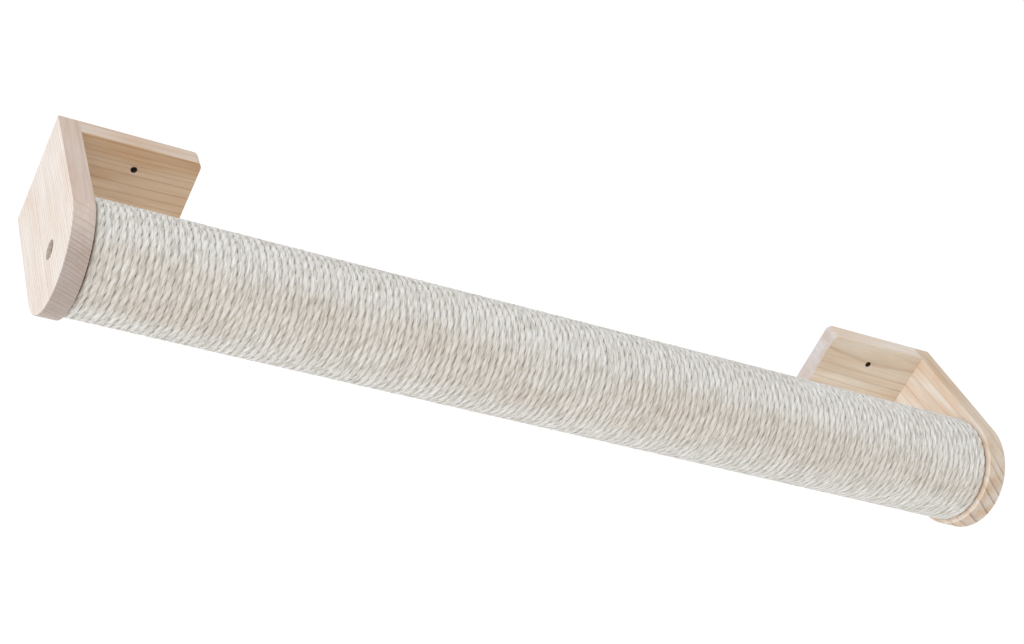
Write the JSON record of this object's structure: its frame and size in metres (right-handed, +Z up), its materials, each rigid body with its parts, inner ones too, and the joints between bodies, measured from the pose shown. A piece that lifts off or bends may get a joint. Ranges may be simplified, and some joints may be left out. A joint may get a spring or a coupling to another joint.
{
  "type": "wall-mounted cat scratching post",
  "caption": "Rope-wound round post held level in front of a wall between two L-shaped pine brackets.",
  "frame": {"origin": "on the wall plane, midway between the two brackets, level with the post's axis", "axes": "+X along the post, +Y into the wall with the room on the -Y side, +Z up"},
  "size_m": [0.882, 0.175, 0.1],
  "materials": {
    "pine": "satin",
    "beech": "matte",
    "card": "matte",
    "sisal": "matte",
    "zinc_plated_steel": "satin"
  },
  "bodies": {
    "root": {"left_end_plate": "pine", "left_wall_plate": "pine", "left_dowel_upper": "beech", "left_dowel_lower": "beech", "left_washer": "zinc_plated_steel", "left_post_bolt": "zinc_plated_steel", "left_core_plug": "pine", "left_threaded_insert": "zinc_plated_steel", "left_plug_screw_1": "zinc_plated_steel", "left_plug_screw_2": "zinc_plated_steel", "left_plug_screw_3": "zinc_plated_steel", "left_rope_turns": "sisal", "right_end_plate": "pine", "right_wall_plate": "pine", "right_dowel_upper": "beech", "right_dowel_lower": "beech", "right_washer": "zinc_plated_steel", "right_post_bolt": "zinc_plated_steel", "right_core_plug": "pine", "right_threaded_insert": "zinc_plated_steel", "right_plug_screw_1": "zinc_plated_steel", "right_plug_screw_2": "zinc_plated_steel", "right_plug_screw_3": "zinc_plated_steel", "right_rope_turns": "sisal", "core_tube": "card", "rope_turns_middle": "sisal"}
  },
  "joints": []
}
